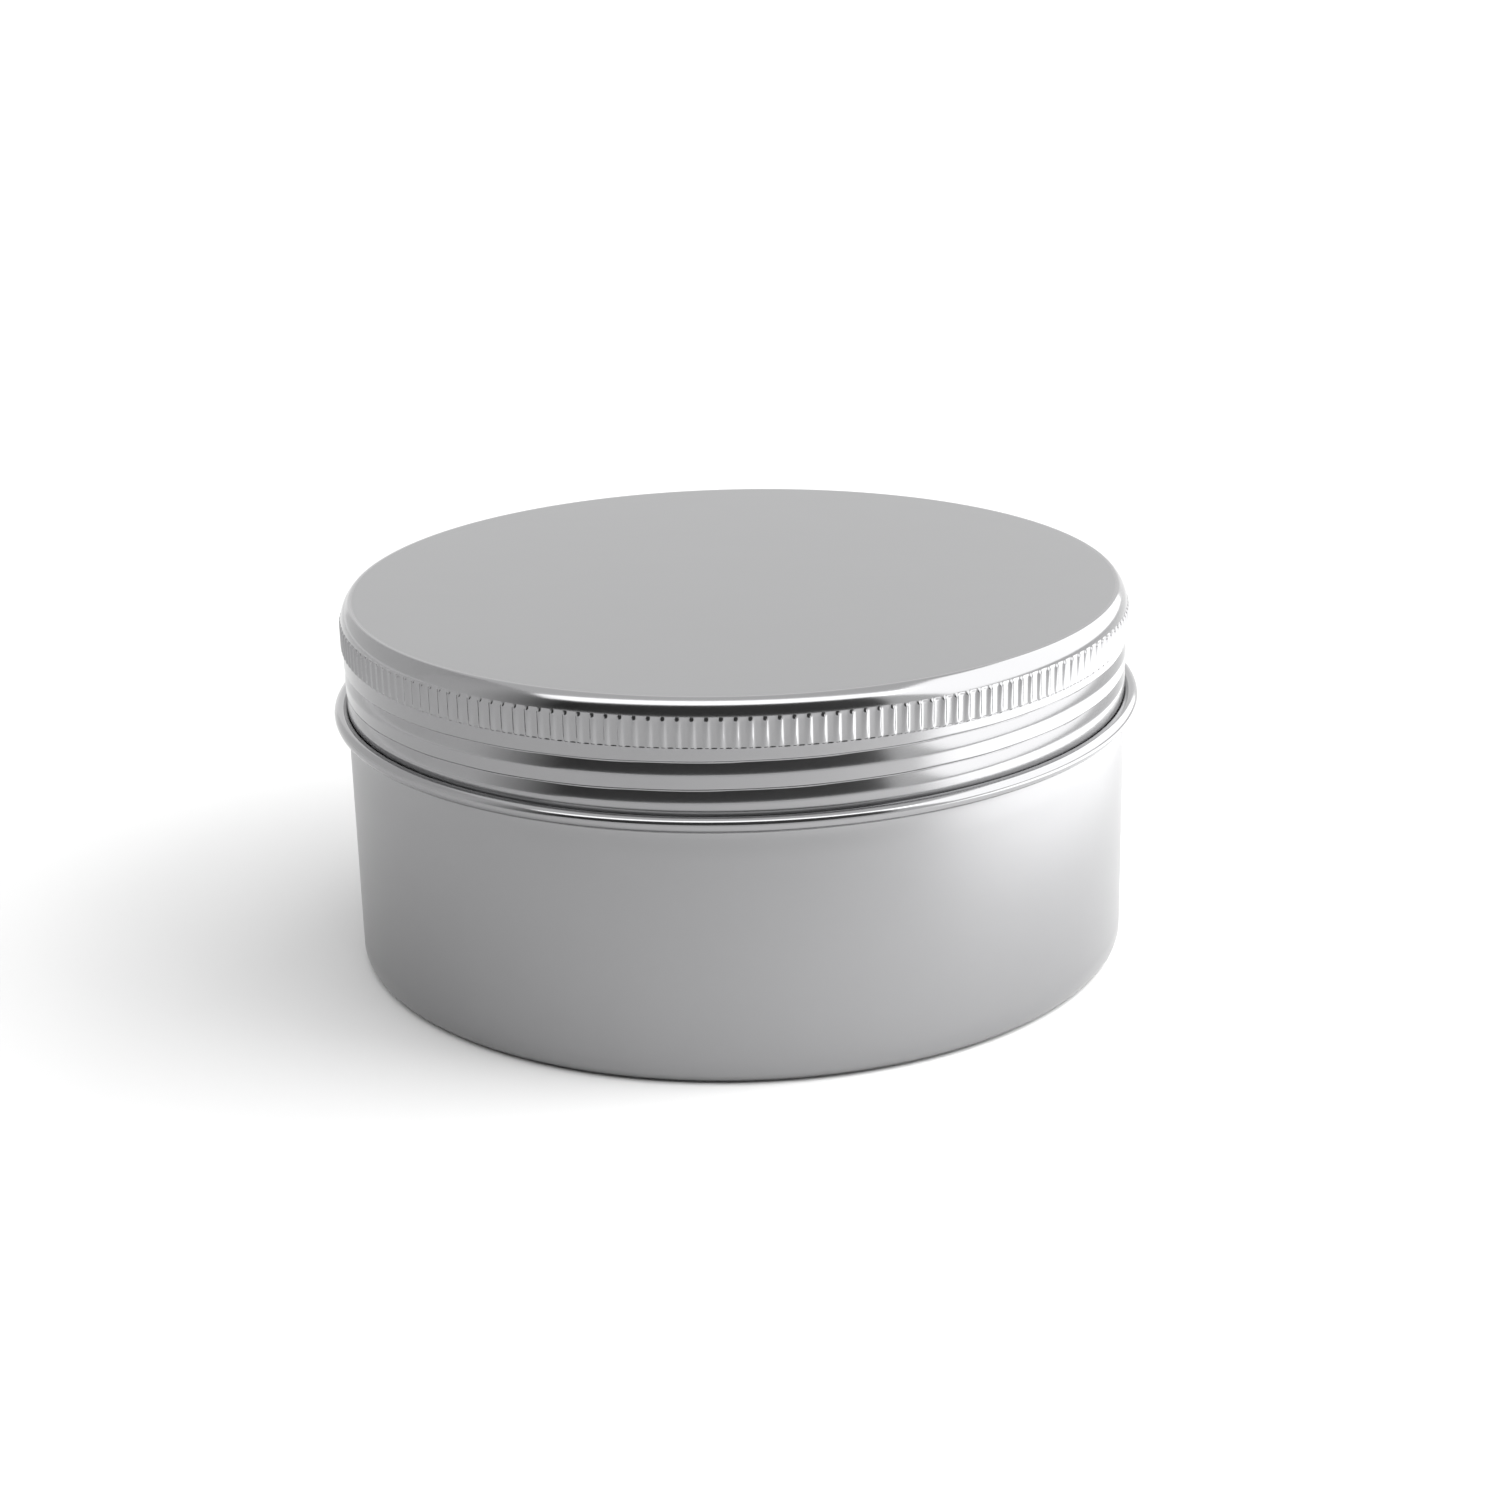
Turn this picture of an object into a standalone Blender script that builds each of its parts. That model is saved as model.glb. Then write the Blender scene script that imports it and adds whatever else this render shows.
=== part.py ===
"""Round aluminium candle tin with a screw lid, in three real pieces.

tin_body    the drawn cup: raised base panel, plain wall, rolled bead, threaded neck and curled rim
lid_liner   the foam disc that seals against the curled rim
screw_lid   the drawn lid: rounded top edge, grip band, rolled thread and turned-in lower edge

Metres, +Z up. The origin is the centre of the base, on the surface that the tin stands on.
The lid is shown screwed home. Its joint axis is the tin's own axis, on which every origin lies.
"""

import math

import bpy

MM = 0.001

# Driving dimensions of the whole tin
LID_RADIUS = 50.0 * MM
OVERALL_HEIGHT = 47.0 * MM
SHEET = 0.4 * MM
FACETS = 48

# The cup's wall and base
WALL_RADIUS = LID_RADIUS - 0.3 * MM
BASE_CORNER = 1.6 * MM
STAND_RING_WIDTH = 2.6 * MM
PANEL_RISE = 0.9 * MM
PANEL_STEP_WIDTH = 1.1 * MM

# The bead that the lid comes down to
BEAD_RADIUS = LID_RADIUS + 1.4 * MM
BEAD_HEIGHT = 32.57 * MM
BEAD_ROUND = 0.88 * MM

# The lid's rounded edge, a tight bend that opens into a wide one, and its skirt
TOP_BEND = 0.48 * MM
LID_CORNER = 3.4 * MM
GRIP_RISE = 0.15 * MM
GRIP_TOP = 45.05 * MM
GRIP_BOTTOM = 41.35 * MM
SKIRT_RADIUS = LID_RADIUS - 0.3 * MM
LID_LOWER_EDGE = 33.25 * MM
EDGE_TURN_IN = 0.15 * MM
EDGE_TURN_HEIGHT = 0.4 * MM

# The thread, which is pressed into the skirt and rolled out of the neck along one helix
THREAD_PITCH = 3.35 * MM
THREAD_HALF_WIDTH = 0.9 * MM
THREAD_RUN_OUT = 0.07
LID_THREAD_DEPTH = 0.5 * MM
LID_THREAD_TURNS = 1.69
THREAD_START_ANGLE = math.radians(130.0)
LID_THREAD_START = 34.1 * MM
NECK_THREAD_LIFT = THREAD_PITCH / 2
NECK_THREAD_HEIGHT = 0.6 * MM
NECK_THREAD_LEAD_IN = 0.25
NECK_THREAD_TURNS = 1.6
THREAD_ROW = 0.45 * MM

# The neck and its curled rim
THREAD_CLEARANCE = 0.3 * MM
NECK_RADIUS = SKIRT_RADIUS - SHEET - THREAD_CLEARANCE - NECK_THREAD_HEIGHT
NECK_FOOT = BEAD_HEIGHT - 0.1 * MM
NECK_TOP = 42.5 * MM
CURL_ROUND = 0.7 * MM
CURL_END = -70.0
SHOULDER_RISE = 0.8 * MM

# The liner, between the curled rim and the underside of the lid
GAP = 0.3 * MM
LINER_THICKNESS = 1.1 * MM
LINER_TOP = OVERALL_HEIGHT - SHEET - GAP
LINER_RADIUS = 48.5 * MM
LINER_CHAMFER = 0.55 * MM
RIM_HEIGHT = LINER_TOP - LINER_THICKNESS - GAP

ALUMINIUM = ("satin_aluminium", (0.72, 0.72, 0.73, 1.0), 0.32, 1.0)
WHITE_FOAM = ("white_foam", (0.88, 0.88, 0.86, 1.0), 0.85, 0.0)


def clear_scene():
    for obj in list(bpy.data.objects):
        bpy.data.objects.remove(obj, do_unlink=True)


def material(name, colour, roughness, metallic):
    made = bpy.data.materials.get(name) or bpy.data.materials.new(name)
    made.use_nodes = True
    shader = made.node_tree.nodes["Principled BSDF"]
    shader.inputs["Base Color"].default_value = colour
    shader.inputs["Roughness"].default_value = roughness
    shader.inputs["Metallic"].default_value = metallic
    return made


def arc(centre_radius, centre_height, radius, start, end, steps):
    """Points (radius, height) on an arc of a section. Angles are in degrees from straight out."""
    points = []
    for step in range(steps + 1):
        angle = math.radians(start + (end - start) * step / steps)
        out = centre_radius + radius * math.cos(angle)
        points.append((out, centre_height + radius * math.sin(angle)))
    return points


def rows(radius, low, high, spacing):
    """Points (radius, height) evenly spaced up a wall, ends included."""
    count = max(1, round(abs(high - low) / spacing))
    return [(radius, low + (high - low) * row / count) for row in range(count + 1)]


def turned(name, section):
    """A surface turned round the Z axis from a section of (radius, height) points."""
    line = bpy.data.meshes.new(name + "_section")
    corners = [(radius, 0.0, height) for radius, height in section]
    line.from_pydata(corners, [(i, i + 1) for i in range(len(corners) - 1)], [])
    profile = bpy.data.objects.new(name + "_section", line)
    bpy.context.scene.collection.objects.link(profile)
    screw = profile.modifiers.new("turn", "SCREW")
    screw.axis = "Z"
    screw.steps = FACETS
    screw.render_steps = FACETS
    screw.use_merge_vertices = True
    screw.merge_threshold = 0.00001
    graph = bpy.context.evaluated_depsgraph_get()
    mesh = bpy.data.meshes.new_from_object(profile.evaluated_get(graph))
    mesh.name = name
    bpy.data.objects.remove(profile, do_unlink=True)
    return mesh


def piece(name, mesh, finish, collection, parent=None):
    obj = bpy.data.objects.new(name, mesh)
    collection.objects.link(obj)
    obj.parent = parent
    mesh.materials.clear()
    mesh.materials.append(material(*finish))
    mesh.shade_smooth()
    mesh.set_sharp_from_angle(angle=math.radians(35))
    return obj


def give_thickness(obj):
    """Makes a sheet of the turned surface, which lies at the middle of the sheet's thickness."""
    solidify = obj.modifiers.new("sheet", "SOLIDIFY")
    solidify.thickness = SHEET
    solidify.offset = 0.0
    solidify.use_even_offset = True


def smooth_step(share):
    share = max(0.0, min(1.0, share))
    return share * share * (3.0 - 2.0 * share)


def thread_share(angle, height, start_height, first_turn, turns):
    """How much of the full thread stands at a point, from 0 to 1, with a run-out at both ends."""
    share = 0.0
    for lap in range(-2, 3):
        turn = (angle - THREAD_START_ANGLE) / math.tau + lap
        run = min(turn - first_turn, first_turn + turns - turn)
        off = abs(height - start_height - THREAD_PITCH * turn)
        if run > 0.0 and off < THREAD_HALF_WIDTH:
            form = 0.5 + 0.5 * math.cos(math.pi * off / THREAD_HALF_WIDTH)
            share = max(share, form * smooth_step(run / THREAD_RUN_OUT))
    return share


def roll_thread(mesh, depth, start_height, first_turn, turns):
    """Moves a turned surface out by depth, or in where depth is negative, along the thread."""
    for vertex in mesh.vertices:
        radius = math.hypot(vertex.co.x, vertex.co.y)
        if radius < NECK_RADIUS - SHEET:
            continue
        angle = math.atan2(vertex.co.y, vertex.co.x)
        share = thread_share(angle, vertex.co.z, start_height, first_turn, turns)
        vertex.co.xy *= (radius + depth * share) / radius


def tin_section():
    """The cup's section from the centre of the base panel out, up the wall and over the curl."""
    half = SHEET / 2
    wall = WALL_RADIUS - half
    ring_out = WALL_RADIUS - BASE_CORNER
    ring_in = ring_out - STAND_RING_WIDTH
    panel = [(0.0, half + PANEL_RISE), (ring_in - PANEL_STEP_WIDTH, half + PANEL_RISE)]
    corner = arc(ring_out, BASE_CORNER, BASE_CORNER - half, -90, 0, 4)
    bead_round = BEAD_ROUND - half
    bead_centre = BEAD_RADIUS - BEAD_ROUND
    wall_top = [(wall, BEAD_HEIGHT - BEAD_ROUND - half)]
    bead = arc(bead_centre, BEAD_HEIGHT, bead_round, -100, 165, 9)
    neck = NECK_RADIUS - half
    foot = [(neck + half, NECK_FOOT)]
    threaded = rows(neck, NECK_FOOT + SHEET, NECK_TOP, THREAD_ROW)
    curl_round = CURL_ROUND - half
    curl_centre = NECK_RADIUS - CURL_ROUND
    shoulder = [(curl_centre - curl_round, NECK_TOP + SHOULDER_RISE)]
    curl = arc(curl_centre, RIM_HEIGHT - CURL_ROUND, curl_round, 180, CURL_END, 8)
    return panel + [(ring_in, half)] + corner + wall_top + bead + foot + threaded + shoulder + curl


def lid_section():
    """The lid's section from the centre of its top out, round the edge and down the skirt."""
    half = SHEET / 2
    opening = (LID_CORNER - TOP_BEND) * math.sin(math.radians(45))
    bend_height = OVERALL_HEIGHT - TOP_BEND
    corner_centre = LID_RADIUS - GRIP_RISE - LID_CORNER
    corner_height = bend_height - opening
    lowest = math.degrees(math.asin((GRIP_TOP - corner_height) / LID_CORNER))
    top = [(0.0, OVERALL_HEIGHT - half)]
    corner = arc(corner_centre + opening, bend_height, TOP_BEND - half, 90, 60, 2)
    corner += arc(corner_centre, corner_height, LID_CORNER - half, 45, lowest, 3)
    grip = [(LID_RADIUS - half, GRIP_TOP - GRIP_RISE), (LID_RADIUS - half, GRIP_BOTTOM)]
    skirt = SKIRT_RADIUS - half
    step_down = GRIP_BOTTOM - (LID_RADIUS - SKIRT_RADIUS)
    threaded = rows(skirt, step_down, LID_LOWER_EDGE + EDGE_TURN_HEIGHT, THREAD_ROW)
    return top + corner + grip + threaded + [(skirt - EDGE_TURN_IN, LID_LOWER_EDGE)]


def make_tin_body(collection):
    mesh = turned("tin_body", tin_section())
    start = LID_THREAD_START + NECK_THREAD_LIFT
    roll_thread(mesh, NECK_THREAD_HEIGHT, start, -NECK_THREAD_LEAD_IN, NECK_THREAD_TURNS)
    give_thickness(piece("tin_body", mesh, ALUMINIUM, collection))


def make_screw_lid(collection, axis):
    mesh = turned("screw_lid", lid_section())
    roll_thread(mesh, -LID_THREAD_DEPTH, LID_THREAD_START, 0.0, LID_THREAD_TURNS)
    give_thickness(piece("screw_lid", mesh, ALUMINIUM, collection, axis))


def make_lid_liner(collection, axis):
    """A flat foam disc, its top edge eased where it is pushed up into the lid's corner."""
    under = LINER_TOP - LINER_THICKNESS
    section = [
        (0.0, LINER_TOP),
        (LINER_RADIUS - LINER_CHAMFER, LINER_TOP),
        (LINER_RADIUS, LINER_TOP - LINER_CHAMFER),
        (LINER_RADIUS, under),
        (0.0, under),
    ]
    piece("lid_liner", turned("lid_liner", section), WHITE_FOAM, collection, axis)


def main():
    clear_scene()
    collection = bpy.data.collections.new("candle_tin")
    bpy.context.scene.collection.children.link(collection)
    lid_axis = bpy.data.objects.new("lid_axis", None)
    collection.objects.link(lid_axis)
    make_tin_body(collection)
    make_lid_liner(collection, lid_axis)
    make_screw_lid(collection, lid_axis)


if __name__ == "__main__":
    main()
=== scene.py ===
"""Finished surfaces, stage and camera for a round aluminium candle tin with a screw lid.

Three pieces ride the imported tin: the drawn cup, the screw lid and the foam liner inside the lid.
Each is one closed sheet or disc, turned ring by ring round the tin's axis, in metres with +Z up.
"""

import math
from collections import namedtuple

import bpy
import numpy as np
from bpy.props import FloatProperty, IntProperty, PointerProperty, StringProperty
from mathutils import Matrix, Vector


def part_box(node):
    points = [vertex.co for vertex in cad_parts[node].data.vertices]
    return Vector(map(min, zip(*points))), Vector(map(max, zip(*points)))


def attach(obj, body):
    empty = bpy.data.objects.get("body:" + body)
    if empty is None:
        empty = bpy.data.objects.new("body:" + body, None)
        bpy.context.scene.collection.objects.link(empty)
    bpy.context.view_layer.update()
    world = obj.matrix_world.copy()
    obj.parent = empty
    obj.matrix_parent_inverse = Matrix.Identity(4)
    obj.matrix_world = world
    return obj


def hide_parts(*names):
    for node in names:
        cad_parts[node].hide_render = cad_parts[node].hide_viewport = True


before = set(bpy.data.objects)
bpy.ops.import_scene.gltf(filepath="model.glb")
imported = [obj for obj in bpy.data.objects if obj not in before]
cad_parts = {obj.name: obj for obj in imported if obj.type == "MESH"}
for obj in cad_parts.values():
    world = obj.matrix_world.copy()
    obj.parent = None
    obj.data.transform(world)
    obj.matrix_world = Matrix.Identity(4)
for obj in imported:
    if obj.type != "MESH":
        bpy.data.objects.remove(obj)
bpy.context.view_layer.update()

bl_info = {
    "name": "Candle tin",
    "version": (1, 0, 0),
    "blender": (4, 5, 0),
    "location": "3D View > Sidebar > Candle tin",
    "description": "Builds the finished cup, lid and foam liner of a candle tin, and its stage",
    "category": "Object",
}

MM = 0.001
CUP_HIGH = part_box("tin_body")[1]
LID_LOW, LID_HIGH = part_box("screw_lid")
LINER_LOW, LINER_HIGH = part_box("lid_liner")

# Columns of faces round the tin. Each ring's count divides the next finer one.
DISC_COLUMNS = 96
WALL_COLUMNS = 384
RIBS = 192

# One ring of a sheet's middle line: where it is, how finely it is divided, and how its surface
# was left. burnish runs from 0, the satin of the drawn sheet, to 1, rubbed bright by the rolls.
# ribs is the share of the full grip ribs that stands at this ring.
Stop = namedtuple("Stop", "radius height columns burnish ribs", defaults=(WALL_COLUMNS, 0.0, 0.0))

# How bright the surface is rubbed: at the base's corner, under the bead, on the threaded neck, on
# the skirt, the curl and the foot of the neck, and where the rolls press hardest
CORNER_RUB, BEND_RUB, NECK_RUB, EDGE_RUB, FULL_RUB = 0.3, 0.6, 0.7, 0.8, 1.0


def linear(hex_colour):
    """An sRGB hex colour as linear red, green, blue and alpha."""
    values = [int(hex_colour[i : i + 2], 16) / 255.0 for i in (1, 3, 5)]
    return [v / 12.92 if v <= 0.04045 else ((v + 0.055) / 1.055) ** 2.4 for v in values] + [1.0]


def length(label, says, default):
    return FloatProperty(name=label, description=says, default=default, unit="LENGTH", precision=5)


def angle(label, says, degrees):
    return FloatProperty(
        name=label, description=says, default=math.radians(degrees), subtype="ANGLE"
    )


def colour(label, says, hex_colour):
    says += ", as an sRGB hex value"
    return StringProperty(name=label, description=says, default=hex_colour)


def share(label, says, default):
    return FloatProperty(
        name=label, description=says, default=default, min=0.0, max=1.0, subtype="FACTOR"
    )


class SheetSettings(bpy.types.PropertyGroup):
    """The aluminium sheet that the cup and the lid are drawn from."""

    thickness: length("Sheet", "Thickness of the aluminium sheet", 0.4 * MM)
    colour: colour("Colour", "Colour of the bare aluminium", "#929293")
    satin: share("Satin roughness", "Roughness of the drawn wall and the lid's top", 0.36)
    burnished: share("Burnished roughness", "Roughness of the rolled ribs, beads and threads", 0.13)
    pitch: length("Thread pitch", "Rise of the thread in one turn", 3.35 * MM)


class CupSettings(bpy.types.PropertyGroup):
    """The drawn cup, up to its curled rim."""

    bead_radius: length("Bead radius", "Outer radius of the rolled bead", CUP_HIGH[0])
    bead_round: length("Bead rounding", "Radius of the bead's own section", 0.97 * MM)
    bead_height: length("Bead height", "Height of the middle of the bead", 32.65 * MM)
    wall_radius: length("Wall radius", "Outer radius of the plain wall", CUP_HIGH[0] - 1.7 * MM)
    base_corner: length("Base corner", "Radius of the corner at the foot of the wall", 1.6 * MM)
    rim_height: length("Rim height", "Height of the top of the curled rim", CUP_HIGH[2])
    neck_in: length("Neck-in", "How far the wall draws in just under the bead", 0.15 * MM)
    crest: length("Thread crest", "How far the neck's thread stands out", 0.6 * MM)
    thread_turns: FloatProperty(
        name="Thread turns", description="Turns of the neck's thread", default=1.6
    )


class LidSettings(bpy.types.PropertyGroup):
    """The screw lid, from its flat top to its turned-in lower edge."""

    radius: length("Lid radius", "Outer radius over the grip ribs", LID_HIGH[0])
    top: length("Lid top", "Height of the flat top above the floor", LID_HIGH[2])
    bend: length("Top bend", "Radius of the tight bend at the flat top's edge", 0.48 * MM)
    corner: length("Corner", "Radius of the wide rounding below the tight bend", 3.4 * MM)
    ribs: IntProperty(name="Grip ribs", description="Number of ribs in the band", default=RIBS)
    rib_rise: length("Rib rise", "How far a rib's crest stands out from the side", 0.15 * MM)
    rib_depth: length("Rib depth", "How far a hollow lies behind the crests", 0.26 * MM)
    band_top: length("Band top", "Height of the upper end of the grip band", 45.05 * MM)
    band_foot: length("Band foot", "Height of the lower end of the grip band", 41.35 * MM)
    groove: length("Groove depth", "Depth of the thread pressed into the skirt", 0.52 * MM)
    thread_turns: FloatProperty(
        name="Thread turns", description="Turns of the lid's thread", default=1.69
    )


class LinerSettings(bpy.types.PropertyGroup):
    """The foam disc that seals on the curled rim."""

    radius: length("Liner radius", "Radius of the foam disc", LINER_HIGH[0])
    imprint: length("Rim imprint", "Depth of the ring the rim leaves in the foam", 0.18 * MM)
    colour: colour("Colour", "Colour of the foam", "#ECEBE6")


class StageSettings(bpy.types.PropertyGroup):
    """The floor, the soft lights and the camera."""

    floor: colour("Floor colour", "Colour of the pale paper floor", "#D4D4D4")
    world: FloatProperty(
        name="Room light", description="Brightness of the white room", default=1.27
    )
    distance: length("Camera distance", "From the camera to the tin's base", 364.5 * MM)
    elevation: angle("Camera elevation", "How far above the floor the camera looks from", 22.62)
    aside: angle("Camera turn", "How far the camera looks to the right of the tin's base", 0.26)
    up: angle("Camera tilt", "How far the camera looks above the tin's base", 3.56)
    roll: angle("Camera roll", "How far the camera leans about its own line of sight", -1.47)
    lens: FloatProperty(
        name="Lens", description="Focal length", default=65.64, subtype="DISTANCE_CAMERA"
    )


# Sections and rings

def arc(centre_radius, centre_height, radius, start, end, steps):
    """Points (radius, height) on an arc of a section. Angles are in degrees from straight out."""
    points = []
    for turned in np.radians(np.linspace(start, end, steps + 1)):
        out = centre_radius + radius * math.cos(turned)
        points.append((out, centre_height + radius * math.sin(turned)))
    return points


def wall(radius, start, end, spacing):
    """Points (radius, height) evenly spaced along a straight wall, ends included."""
    count = max(1, round(abs(end - start) / spacing))
    return [(radius, height) for height in np.linspace(start, end, count + 1)]


def stops(points, **how):
    return [Stop(radius, height, **how) for radius, height in points]


def ease(value):
    value = np.clip(value, 0.0, 1.0)
    return value * value * (3.0 - 2.0 * value)


def side_step(section, distance):
    """A sheet's middle line moved sideways by a distance, to the left of the way that it runs."""
    line = np.array([(stop.radius, stop.height) for stop in section])
    along = np.gradient(line, axis=0)
    along /= np.linalg.norm(along, axis=1)[:, None]
    moved = line + distance * np.stack([-along[:, 1], along[:, 0]], axis=1)
    moved[line[:, 0] == 0.0, 0] = 0.0
    return [stop._replace(radius=r, height=z) for stop, (r, z) in zip(section, moved)]


def sheet_loop(section, thickness, inner_columns):
    """Both faces of a sheet and its rounded edge, as one run of rings from centre to centre.

    The inner face, of which less is seen, has every other ring of the outer one.
    """
    near = side_step(section, thickness / 2)
    far = side_step(section, -thickness / 2)[::-1]
    far = far[:1] + far[1:-1:2] + far[-1:]
    far = [stop._replace(columns=min(stop.columns, inner_columns)) for stop in far]
    end = section[-1]
    start = math.degrees(math.atan2(near[-1].height - end.height, near[-1].radius - end.radius))
    edge = arc(end.radius, end.height, thickness / 2, start, start - 180.0, 6)[1:-1]
    return near + [end._replace(radius=r, height=z) for r, z in edge] + far


def join_rings(first, first_count, second, second_count):
    """Faces between two rings of corners. One ring's count divides the other's, or is 1."""
    counts = [count for count in (first_count, second_count) if count > 1]
    faces = []
    for step in range(min(counts)):
        ends = []
        for start, count in ((first, first_count), (second, second_count)):
            span = count // min(counts)
            ends.append([start + (step * span + i) % count for i in range(span + 1)])
        upper, lower = ends
        faces.append(upper[::-1] + lower)
    return faces


def turned_piece(name, loop, form, material):
    """A closed surface of rings round the Z axis. form(angles, stop) gives a ring's radii."""
    corners, faces, burnish = [], [], []
    before = None
    for stop in loop:
        count = 1 if stop.radius == 0.0 else stop.columns
        angles = np.linspace(0.0, math.tau, count, endpoint=False)
        radii = form(angles, stop) if count > 1 else np.zeros(1)
        start = len(corners)
        heights = np.full(count, stop.height)
        corners += np.stack([radii * np.cos(angles), radii * np.sin(angles), heights], 1).tolist()
        burnish += [stop.burnish] * count
        if before is not None:
            faces += join_rings(before[0], before[1], start, count)
        before = (start, count)
    mesh = bpy.data.meshes.new(name)
    mesh.from_pydata(corners, [], faces)
    mesh.attributes.new("burnish", "FLOAT", "POINT").data.foreach_set("value", burnish)
    mesh.shade_smooth()
    mesh.materials.append(material)
    mesh.validate()
    obj = bpy.data.objects.new(name, mesh)
    bpy.context.scene.collection.objects.link(obj)
    return obj


# The thread, one right-hand helix that the lid's groove and the neck's crest share

THREAD_START = math.radians(130.0)
GROOVE_MIDDLE = 34.32 * MM
THREAD_HALF = 0.9 * MM
THREAD_RUN_OUT = 0.07
GROOVE_LIP = 0.22 * MM


def along_thread(angles, height, start_height, pitch, first_turn, turns):
    """For each lap of the helix: how far a ring is below its middle, and the run-out at its ends."""
    for lap in range(-2, 4):
        turn = (angles - THREAD_START) / math.tau + lap
        run = np.minimum(turn - first_turn, first_turn + turns - turn)
        yield start_height + pitch * turn - height, ease(run / THREAD_RUN_OUT)


def groove_share(down):
    """The groove's section: a sharp lip at its top, and a long slope back out to the skirt below."""
    lip = ease((down + THREAD_HALF) / GROOVE_LIP)
    slope = 1.0 - (down + THREAD_HALF - GROOVE_LIP) / (2 * THREAD_HALF - GROOVE_LIP)
    rounded = np.clip(slope, 0.0, 1.0) ** 1.25
    return np.minimum(lip, rounded)


def crest_share(down):
    return 0.5 + 0.5 * np.cos(np.pi * np.clip(down / THREAD_HALF, -1.0, 1.0))


# Materials

ROUGHNESS_SPREAD = 0.008
TINT_SPREAD = 0.01
GRAIN_HEIGHT = 0.0003 * MM
CLOUD_SIZE = 9.0 * MM
CELL_SIZE = 0.45 * MM
CELL_DEPTH = 0.05 * MM
FIBRE_SIZE = 0.6 * MM


def add_node(tree, kind, settings, links):
    """Adds a node, gives its fields and sockets their settings, and links sockets into it."""
    node = tree.nodes.new(kind)
    for name, value in settings.items():
        if isinstance(name, str) and hasattr(node, name):
            setattr(node, name, value)
        else:
            node.inputs[name].default_value = value
    for name, source in links.items():
        tree.links.new(source, node.inputs[name])
    return node


def shaded(colour_of, factor):
    """A linear colour made darker or paler."""
    return [value * factor for value in colour_of[:3]] + [1.0]


def new_material(name):
    made = bpy.data.materials.new(name)
    made.use_nodes = True
    shader = made.node_tree.nodes["Principled BSDF"]
    return made, made.node_tree, shader


def aluminium(name, settings, grain):
    """Bare sheet aluminium. grain is the size in metres of a grain mark along X, Y and Z.

    The sheet's rolling and drawing leave faint parallel marks, which spread the reflections softly,
    and the forming rolls rub the ribs, beads and threads brighter than the plain wall.
    """
    made, tree, shader = new_material(name)
    shader.inputs["Metallic"].default_value = 1.0
    place = add_node(tree, "ShaderNodeTexCoord", {}, {})
    stretch = add_node(
        tree,
        "ShaderNodeMapping",
        {"Scale": [1.0 / size for size in grain]},
        {"Vector": place.outputs["Object"]},
    )
    marks = add_node(
        tree,
        "ShaderNodeTexNoise",
        {"Scale": 1.0, "Detail": 3.0, "Roughness": 0.6},
        {"Vector": stretch.outputs["Vector"]},
    )
    clouds = add_node(
        tree,
        "ShaderNodeTexNoise",
        {"Scale": 1.0 / CLOUD_SIZE, "Detail": 2.0},
        {"Vector": place.outputs["Object"]},
    )
    rubbed = add_node(tree, "ShaderNodeAttribute", {"attribute_name": "burnish"}, {})
    base = add_node(
        tree,
        "ShaderNodeMapRange",
        {"To Min": settings.satin, "To Max": settings.burnished},
        {"Value": rubbed.outputs["Fac"]},
    )
    uneven = add_node(
        tree,
        "ShaderNodeMapRange",
        {"To Min": -ROUGHNESS_SPREAD, "To Max": ROUGHNESS_SPREAD},
        {"Value": marks.outputs["Fac"]},
    )
    rough = add_node(
        tree,
        "ShaderNodeMath",
        {"operation": "ADD"},
        {0: base.outputs["Result"], 1: uneven.outputs["Result"]},
    )
    tree.links.new(rough.outputs["Value"], shader.inputs["Roughness"])
    metal = linear(settings.colour)
    darker, paler = shaded(metal, 1.0 - TINT_SPREAD), shaded(metal, 1.0 + TINT_SPREAD)
    tint = add_node(
        tree,
        "ShaderNodeMix",
        {"data_type": "RGBA", 6: darker, 7: paler},
        {0: clouds.outputs["Fac"]},
    )
    tree.links.new(tint.outputs[2], shader.inputs["Base Color"])
    bump = add_node(
        tree,
        "ShaderNodeBump",
        {"Strength": 0.5, "Distance": GRAIN_HEIGHT},
        {"Height": marks.outputs["Fac"]},
    )
    tree.links.new(bump.outputs["Normal"], shader.inputs["Normal"])
    return made


def foam(name, settings):
    """Closed-cell polyethylene foam: matt, with a skin dimpled by its cells."""
    made, tree, shader = new_material(name)
    shader.inputs["Base Color"].default_value = linear(settings.colour)
    shader.inputs["Roughness"].default_value = 0.85
    shader.inputs["IOR"].default_value = 1.5
    place = add_node(tree, "ShaderNodeTexCoord", {}, {})
    cells = add_node(
        tree, "ShaderNodeTexVoronoi", {"Scale": 1.0 / CELL_SIZE}, {"Vector": place.outputs["Object"]}
    )
    tint = add_node(
        tree,
        "ShaderNodeMix",
        {"data_type": "RGBA", 6: linear("#DEDCD5"), 7: linear(settings.colour)},
        {0: cells.outputs["Distance"]},
    )
    tree.links.new(tint.outputs[2], shader.inputs["Base Color"])
    bump = add_node(
        tree,
        "ShaderNodeBump",
        {"Strength": 0.6, "Distance": CELL_DEPTH},
        {"Height": cells.outputs["Distance"]},
    )
    tree.links.new(bump.outputs["Normal"], shader.inputs["Normal"])
    return made


# The cup

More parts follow.
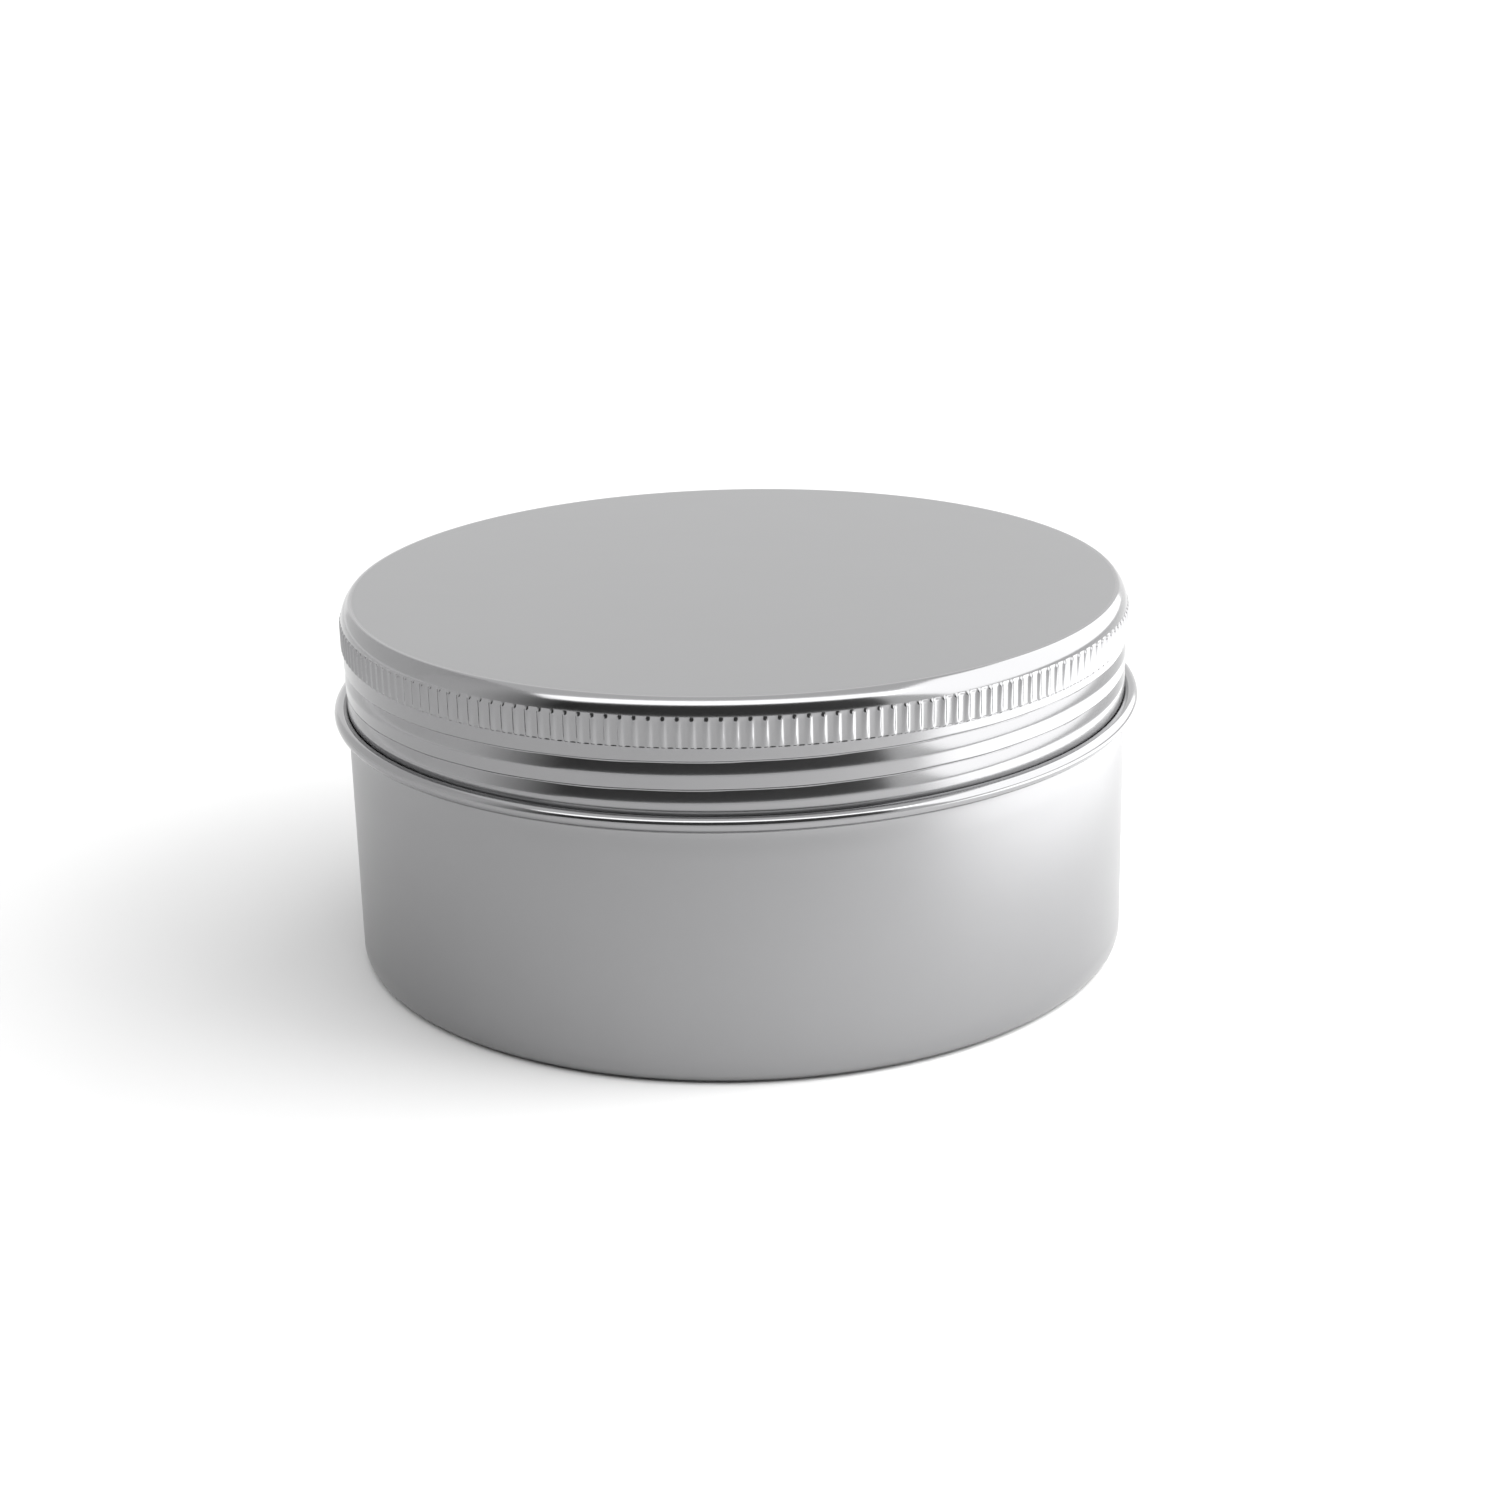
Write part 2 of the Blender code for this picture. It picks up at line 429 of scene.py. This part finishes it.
NECK_RADIUS = 48.4 * MM
NECK_TOP = 42.5 * MM
NECK_LEAD_IN = 0.25
CURL_ROUND = 0.7 * MM
SHOULDER_RISE = 0.8 * MM
STAND_RING = 2.6 * MM
PANEL_RISE = 0.9 * MM
PANEL_STEP = 1.1 * MM
PANEL_BEND = 0.4 * MM
RING_BEND = 0.3 * MM
RING_MARGIN = 0.2 * MM
WALL_RINGS = (3.0 * MM, 8.0 * MM, 16.0 * MM, 24.0 * MM)
DRAW_IN_START = 28.0 * MM
DRAW_IN_END = 0.35 * MM
UNDER_BEAD_BEND = 0.3 * MM
NECK_BEND = 0.4 * MM
NECK_FOOT_RISE = 0.3 * MM
NECK_STEP = 0.18 * MM

# The size of a grain mark along X, Y and Z, drawn out up the cup's wall
UPRIGHT_GRAIN = (0.3 * MM, 0.3 * MM, 12.0 * MM)

# The dip between the bead and the neck, as distances in from the bead's middle and heights above it
BEAD_DIP = ((0.80 * MM, 0.10 * MM), (1.05 * MM, -0.05 * MM), (1.45 * MM, -0.10 * MM))


def cup_section(cup, sheet):
    """The middle of the cup's sheet, from the centre of its base out, up the wall and over the curl."""
    half = sheet / 2
    skin = cup.wall_radius - half
    ring_out = cup.wall_radius - cup.base_corner
    ring_in = ring_out - STAND_RING
    panel_edge = ring_in - PANEL_STEP
    panel_height = half + PANEL_RISE
    bead_centre = cup.bead_radius - cup.bead_round
    neck = NECK_RADIUS - half
    curl_centre = NECK_RADIUS - CURL_ROUND
    curl_round = CURL_ROUND - half
    under_bead = cup.bead_height - cup.bead_round - half
    section = stops([(0.0, panel_height), (panel_edge * 0.35, panel_height)], columns=DISC_COLUMNS)
    bend = PANEL_BEND
    section += stops([(panel_edge * 0.7, panel_height), (panel_edge - bend, panel_height)])
    section += stops(arc(panel_edge - bend, panel_height - bend, bend, 75, 30, 3))
    section += stops(arc(ring_in + RING_BEND, half + RING_BEND, RING_BEND, 210, 255, 3))
    section += stops([(ring_in + 0.4 * MM, half), (ring_out - RING_MARGIN, half)])
    corner = arc(ring_out, cup.base_corner, cup.base_corner - half, -90, 0, 12)
    section += stops(corner, burnish=CORNER_RUB)
    section += stops([(skin, height) for height in WALL_RINGS])
    for rise in np.linspace(0.0, 1.0, 9):
        height = DRAW_IN_START + rise * (under_bead - DRAW_IN_END - DRAW_IN_START)
        section.append(Stop(skin - cup.neck_in * float(ease(rise)), height, burnish=0.2 * rise))
    drawn_in = skin - cup.neck_in
    bend = UNDER_BEAD_BEND
    under = arc(drawn_in + bend, under_bead - bend, bend, 165, 105, 4)
    section += stops(under, burnish=BEND_RUB)
    bead = arc(bead_centre, cup.bead_height, cup.bead_round - half, -85, 150, 26)
    section += stops(bead, burnish=FULL_RUB)
    for inward, rise in BEAD_DIP:
        section.append(Stop(bead_centre - inward, cup.bead_height + rise, burnish=FULL_RUB))
    foot = arc(neck + NECK_BEND, cup.bead_height + NECK_FOOT_RISE, NECK_BEND, 255, 195, 4)
    section += stops(foot, burnish=EDGE_RUB)
    threaded = wall(neck, cup.bead_height + NECK_BEND, NECK_TOP, NECK_STEP)
    section += stops(threaded, burnish=NECK_RUB)
    section += stops([(curl_centre - curl_round, NECK_TOP + SHOULDER_RISE)], burnish=NECK_RUB)
    curl = arc(curl_centre, cup.rim_height - CURL_ROUND, curl_round, 180, -70, 18)
    return section + stops(curl, burnish=EDGE_RUB)


class CANDLETIN_OT_cup(bpy.types.Operator):
    """Add the drawn cup, with its bead, threaded neck and curled rim"""

    bl_idname = "candletin.cup"
    bl_label = "Add cup"
    bl_options = {"REGISTER", "UNDO"}

    def execute(self, context):
        cup, sheet = context.scene.candletin_cup, context.scene.candletin_sheet

        def form(angles, stop):
            radii = np.full(len(angles), stop.radius)
            if NECK_RADIUS - 1.2 * sheet.thickness < stop.radius < NECK_RADIUS + 0.1 * MM:
                middle = GROOVE_MIDDLE + sheet.pitch / 2
                laps = along_thread(
                    angles, stop.height, middle, sheet.pitch, -NECK_LEAD_IN, cup.thread_turns
                )
                radii += cup.crest * np.max([crest_share(down) * run for down, run in laps], axis=0)
            return radii

        metal = aluminium("drawn_satin_aluminium", sheet, UPRIGHT_GRAIN)
        loop = sheet_loop(cup_section(cup, sheet.thickness), sheet.thickness, WALL_COLUMNS)
        piece = turned_piece("cup_shell", loop, form, metal)
        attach(piece, "tin")
        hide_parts("tin_body")
        return {"FINISHED"}


# The lid

# The size of a grain mark along X, Y and Z, drawn out along X as the sheet was rolled
ROLLED_GRAIN = (14.0 * MM, 0.3 * MM, 0.3 * MM)

# How steep a rib's flank is from its crest, at 0, to the middle of the hollow, at half a rib's spacing
FLANK_PLACES = (0.0, 0.16, 0.21, 0.28, 0.36, 0.50)
FLANK_STEEPNESS = (0.0, 1.0, 1.0, 0.25, 0.06, 0.0)
RIB_LEAN = math.radians(-30.0)
RIB_COLUMNS = 12
RIB_TOP_END = 0.5 * MM
RIB_FOOT_END = 0.25 * MM
RIB_ROWS = 5
SKIRT_STEP = 0.2 * MM
SKIRT_SPACING = 0.13 * MM
SKIRT_TAPER = 0.12 * MM
HEM_DROP = 0.08 * MM

# The turned-in lower edge, as distances in from the skirt's foot and heights above the edge
HEM = ((0.0, 0.2 * MM), (0.01 * MM, 0.14 * MM), (0.03 * MM, 0.06 * MM), (0.06 * MM, 0.0))


def fall_from_crest(angles, ribs):
    """How far the band's surface has fallen at each angle, from 0 on a crest to 1 in a hollow."""
    places = np.linspace(0.0, 0.5, 101)
    fallen = np.cumsum(np.interp(places, FLANK_PLACES, FLANK_STEEPNESS))
    off_crest = np.abs(((ribs * angles - RIB_LEAN) / math.tau + 0.5) % 1.0 - 0.5)
    return np.interp(off_crest, places, fallen / fallen[-1])


def lid_section(lid, sheet):
    """The middle of the lid's sheet, from the centre of its top out, round the corner and down."""
    half = sheet / 2
    side = lid.radius - lid.rib_rise - half
    skirt = lid.radius - SKIRT_STEP - half
    opening = (lid.corner - lid.bend) * math.sin(math.radians(45))
    corner_centre = side + half - lid.corner
    corner_height = lid.top - lid.bend - opening
    flat_edge = corner_centre + opening
    section = stops([(0.0, lid.top - half), (flat_edge * 0.4, lid.top - half)], columns=DISC_COLUMNS)
    section += stops([(flat_edge * 0.8, lid.top - half), (flat_edge - 0.3 * MM, lid.top - half)])
    tight = arc(flat_edge, lid.top - lid.bend, lid.bend - half, 90, 48, 7)
    section += stops(tight, burnish=FULL_RUB)
    steepest = math.degrees(math.asin((lid.band_top - corner_height) / lid.corner))
    rounding = arc(corner_centre, corner_height, lid.corner - half, 45, steepest, 12)
    section += stops(rounding, burnish=FULL_RUB)
    fine = RIBS * RIB_COLUMNS
    start = section[-1]
    for rise in np.linspace(0.0, 1.0, RIB_ROWS):
        height = start.height - rise * RIB_TOP_END
        radius = start.radius + rise * (side - start.radius)
        section.append(Stop(radius, height, fine, FULL_RUB, float(ease(rise))))
    middle = (start.height - RIB_TOP_END + lid.band_foot + RIB_FOOT_END) / 2
    section.append(Stop(side, middle, fine, FULL_RUB, 1.0))
    for fall in np.linspace(0.0, 1.0, RIB_ROWS):
        height = lid.band_foot + (1.0 - fall) * RIB_FOOT_END
        radius = side + float(ease(fall)) * (skirt - side)
        section.append(Stop(radius, height, fine, FULL_RUB, float(1.0 - ease(fall))))
    edge = LID_LOW[2] + half - HEM_DROP
    low = edge + HEM[0][1] + 0.1 * MM
    for radius, height in wall(skirt, lid.band_foot - 0.1 * MM, low, SKIRT_SPACING):
        taper = SKIRT_TAPER * (lid.band_foot - height) / (lid.band_foot - low)
        section.append(Stop(radius - taper, height, burnish=EDGE_RUB))
    foot = skirt - SKIRT_TAPER
    return section + [Stop(foot - inward, edge + rise, burnish=EDGE_RUB) for inward, rise in HEM]


class CANDLETIN_OT_lid(bpy.types.Operator):
    """Add the screw lid, with its grip ribs and pressed thread"""

    bl_idname = "candletin.lid"
    bl_label = "Add lid"
    bl_options = {"REGISTER", "UNDO"}

    def execute(self, context):
        lid, sheet = context.scene.candletin_lid, context.scene.candletin_sheet

        def form(angles, stop):
            radii = np.full(len(angles), stop.radius)
            if stop.ribs > 0.0:
                radii += stop.ribs * (lid.rib_rise - lid.rib_depth * fall_from_crest(angles, lid.ribs))
            elif stop.height < lid.band_foot:
                laps = along_thread(
                    angles, stop.height, GROOVE_MIDDLE, sheet.pitch, 0.0, lid.thread_turns
                )
                shares = [groove_share(down) * run for down, run in laps]
                radii -= lid.groove * np.max(shares, axis=0)
            return radii

        metal = aluminium("rolled_satin_aluminium", sheet, ROLLED_GRAIN)
        loop = sheet_loop(lid_section(lid, sheet.thickness), sheet.thickness, RIBS * 4)
        piece = turned_piece("lid_shell", loop, form, metal)
        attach(piece, "lid")
        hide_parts("screw_lid")
        return {"FINISHED"}


# The liner

RIM_SEAT = 47.7 * MM
IMPRINT_WIDTH = 1.2 * MM
IMPRINT_MARGIN = 0.7 * MM
EASED_EDGE = 0.5 * MM
LOWER_EDGE_ROUND = 0.15 * MM


def plain_round(angles, stop):
    return np.full(len(angles), stop.radius)


def imprint_share(across):
    """How much of the rim's full imprint is pressed in at a distance from the middle of the rim."""
    return 0.5 + 0.5 * math.cos(math.pi * min(1.0, abs(across) / (IMPRINT_WIDTH / 2)))


class CANDLETIN_OT_liner(bpy.types.Operator):
    """Add the foam liner, with the ring that the rim presses into it"""

    bl_idname = "candletin.liner"
    bl_label = "Add liner"
    bl_options = {"REGISTER", "UNDO"}

    def execute(self, context):
        liner = context.scene.candletin_liner
        low, high = LINER_LOW[2], LINER_HIGH[2]
        eased, lower = EASED_EDGE, LOWER_EDGE_ROUND
        section = stops([(0.0, high), (liner.radius * 0.5, high)], columns=DISC_COLUMNS)
        section += stops([(liner.radius - eased - 0.3 * MM, high)])
        section += stops(arc(liner.radius - eased, high - eased, eased, 90, 0, 5))
        section += stops(arc(liner.radius - lower, low + lower, lower, 0, -90, 3))
        for across in np.linspace(IMPRINT_MARGIN, -IMPRINT_WIDTH, 15):
            pressed = liner.imprint * imprint_share(across)
            section.append(Stop(RIM_SEAT + across, low + pressed))
        section += stops([(liner.radius * 0.75, low)])
        section += stops([(liner.radius * 0.3, low), (0.0, low)], columns=DISC_COLUMNS)
        white = foam("closed_cell_foam", liner)
        piece = turned_piece("foam_liner", section, plain_round, white)
        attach(piece, "liner")
        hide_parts("lid_liner")
        return {"FINISHED"}


# The stage

def staged_plane(name, corners, material):
    mesh = bpy.data.meshes.new(name)
    mesh.from_pydata(corners, [], [(0, 1, 2, 3)])
    mesh.materials.append(material)
    obj = bpy.data.objects.new(name, mesh)
    bpy.context.scene.collection.objects.link(obj)
    return obj


def on_sky(azimuth, elevation, distance):
    """A place seen from the tin. Azimuth is in degrees from the front towards +X."""
    turn, rise = math.radians(azimuth), math.radians(elevation)
    flat = distance * math.cos(rise)
    return Vector((flat * math.sin(turn), -flat * math.cos(turn), distance * math.sin(rise)))


def turn(first, second, lean):
    """Two square axes, both turned so that the first leans towards the second."""
    return (
        first * math.cos(lean) + second * math.sin(lean),
        second * math.cos(lean) - first * math.sin(lean),
    )


def softbox(name, place, aim, size, radiance):
    """A rectangular soft light of an even brightness, which the camera itself doesn't see."""
    light = bpy.data.lights.new(name, "AREA")
    light.shape = "RECTANGLE"
    light.size, light.size_y = size
    light.energy = radiance * math.pi * size[0] * size[1]
    obj = bpy.data.objects.new(name, light)
    obj.location = place
    obj.rotation_euler = (Vector(aim) - place).to_track_quat("-Z", "Y").to_euler()
    obj.visible_camera = False
    bpy.context.scene.collection.objects.link(obj)
    return obj


def plain_material(name, hex_colour, roughness):
    """Paper or cloth: wholly matt, with a fine fibre that keeps the tone from being quite even."""
    made, tree, shader = new_material(name)
    place = add_node(tree, "ShaderNodeTexCoord", {}, {})
    fibre = add_node(
        tree, "ShaderNodeTexNoise", {"Scale": 1.0 / FIBRE_SIZE}, {"Vector": place.outputs["Object"]}
    )
    colour_of = linear(hex_colour)
    tint = add_node(
        tree,
        "ShaderNodeMix",
        {"data_type": "RGBA", 6: shaded(colour_of, 1.0 - TINT_SPREAD), 7: colour_of},
        {0: fibre.outputs["Fac"]},
    )
    tree.links.new(tint.outputs[2], shader.inputs["Base Color"])
    shader.inputs["Roughness"].default_value = roughness
    shader.inputs["Specular IOR Level"].default_value = 0.0
    return made


def shaded_card(name, dark_hex, pale_hex, dark_end, pale_end):
    """A matt card that goes from dark to pale between two places along Y.

    The metal mirrors it as a soft fall of tone, with no edge where it ends.
    """
    made, tree, shader = new_material(name)
    place = add_node(tree, "ShaderNodeTexCoord", {}, {})
    along = add_node(tree, "ShaderNodeSeparateXYZ", {}, {"Vector": place.outputs["Object"]})
    fade = add_node(
        tree,
        "ShaderNodeMapRange",
        {"From Min": dark_end, "From Max": pale_end},
        {"Value": along.outputs["Y"]},
    )
    tint = add_node(
        tree,
        "ShaderNodeMix",
        {"data_type": "RGBA", 6: linear(dark_hex), 7: linear(pale_hex)},
        {0: fade.outputs["Result"]},
    )
    tree.links.new(tint.outputs[2], shader.inputs["Base Color"])
    shader.inputs["Roughness"].default_value = 1.0
    shader.inputs["Specular IOR Level"].default_value = 0.0
    return made


FLOOR_REACH = 0.45
FLOOR_DROP = 0.05 * MM
CLOTH = "#464646"
PALE_END_OF_CARD = "#DADADA"

# Corners of the dark cloth in front, and of the two cards that shade the tin's left side
FRONT_FLAG = ((-1.2, -1.0, 0.12), (0.88, -1.0, 0.12), (0.88, -1.0, 1.05), (-1.2, -1.0, 1.05))
LEFT_CARD = ((-1.2, -1.0, 0.0), (-1.5, 0.2, 0.0), (-1.5, 0.2, 1.6), (-1.2, -1.0, 1.1))
LEFT_BACK_CARD = ((-1.5, 0.2, 0.0), (-0.9, 1.6, 0.0), (-0.9, 1.6, 1.6), (-1.5, 0.2, 1.6))
CARD_SHADE = (-1.0, -0.3)

# The middle of the tin, which the softboxes aim at
TIN_MIDDLE = (0.0, 0.0, 0.03)


class CANDLETIN_OT_stage(bpy.types.Operator):
    """Add the pale floor, the soft lights and the camera"""

    bl_idname = "candletin.stage"
    bl_label = "Add stage"
    bl_options = {"REGISTER", "UNDO"}

    def execute(self, context):
        stage = context.scene.candletin_stage
        paper = plain_material("matt_studio_paper", stage.floor, 1.0)
        reach, down = FLOOR_REACH, -FLOOR_DROP
        corners = [(-reach, -reach), (reach, -reach), (reach, reach), (-reach, reach)]
        staged_plane("floor", [(x, y, down) for x, y in corners], paper)
        cloth = plain_material("black_velvet_flag", CLOTH, 1.0)
        shade = shaded_card("shaded_side_card", CLOTH, PALE_END_OF_CARD, *CARD_SHADE)
        screens = (
            staged_plane("front_flag", FRONT_FLAG, cloth),
            staged_plane("left_card", LEFT_CARD, shade),
            staged_plane("left_back_card", LEFT_BACK_CARD, shade),
        )
        for screen in screens:
            screen.visible_camera = False
        self.add_lights()
        self.add_room(context.scene, stage.world)
        self.add_camera(context.scene, stage)
        context.scene.view_settings.view_transform = "Standard"
        return {"FINISHED"}

    def add_lights(self):
        overhead, right = on_sky(-5, 55, 1.1), on_sky(103, 30, 1.0)
        softbox("front_overhead_softbox", overhead, TIN_MIDDLE, (2.0, 0.3), 2.6)
        softbox("right_softbox", right, TIN_MIDDLE, (2.15, 1.0), 2.1)
        # This one lies on the floor beside the tin and faces straight up
        table = Vector((0.274, -0.0035, 0.0004))
        softbox("table_softbox", table, (0.274, -0.0035, 1.0), (0.352, 0.207), 1.65)
        # This one only brightens the floor, so the metal doesn't mirror it
        over_floor = Vector((0.14, -0.04, 0.12))
        wash = softbox("floor_wash", over_floor, (0.09, -0.02, 0.0), (0.16, 0.22), 4.0)
        wash.visible_glossy = False

    def add_room(self, scene, brightness):
        world = bpy.data.worlds.new("white_room")
        world.use_nodes = True
        backdrop = world.node_tree.nodes["Background"]
        backdrop.inputs["Color"].default_value = (1.0, 1.0, 1.0, 1.0)
        backdrop.inputs["Strength"].default_value = brightness
        scene.world = world

    def add_camera(self, scene, stage):
        forward = Vector((0.0, math.cos(stage.elevation), -math.sin(stage.elevation)))
        place = -stage.distance * forward
        right = Vector((1.0, 0.0, 0.0))
        upward = right.cross(forward)
        forward, right = turn(forward, right, stage.aside)
        forward, upward = turn(forward, upward, stage.up)
        right, upward = turn(right, upward, stage.roll)
        camera = bpy.data.cameras.new("camera")
        camera.lens = stage.lens
        camera.sensor_width = 36.0
        camera.clip_start = 0.01
        obj = bpy.data.objects.new("camera", camera)
        axes = Matrix((right, upward, -forward)).transposed().to_4x4()
        obj.matrix_world = Matrix.Translation(place) @ axes
        scene.collection.objects.link(obj)
        scene.camera = obj


class CANDLETIN_PT_panel(bpy.types.Panel):
    """Lists the tin's pieces"""

    bl_idname = "CANDLETIN_PT_panel"
    bl_label = "Candle tin"
    bl_space_type = "VIEW_3D"
    bl_region_type = "UI"
    bl_category = "Candle tin"

    def draw(self, context):
        for name in ("cup", "lid", "liner", "stage"):
            self.layout.operator("candletin." + name)


SETTINGS = {
    "candletin_sheet": SheetSettings,
    "candletin_cup": CupSettings,
    "candletin_lid": LidSettings,
    "candletin_liner": LinerSettings,
    "candletin_stage": StageSettings,
}
CLASSES = (
    CANDLETIN_OT_cup,
    CANDLETIN_OT_lid,
    CANDLETIN_OT_liner,
    CANDLETIN_OT_stage,
    CANDLETIN_PT_panel,
)


def register():
    for name, group in SETTINGS.items():
        bpy.utils.register_class(group)
        setattr(bpy.types.Scene, name, PointerProperty(type=group))
    for made in CLASSES:
        bpy.utils.register_class(made)


def unregister():
    for made in reversed(CLASSES):
        bpy.utils.unregister_class(made)
    for name, group in SETTINGS.items():
        delattr(bpy.types.Scene, name)
        bpy.utils.unregister_class(group)


def main():
    register()
    bpy.ops.candletin.cup()
    bpy.ops.candletin.lid()
    bpy.ops.candletin.liner()
    bpy.ops.candletin.stage()


if __name__ == "__main__":
    main()
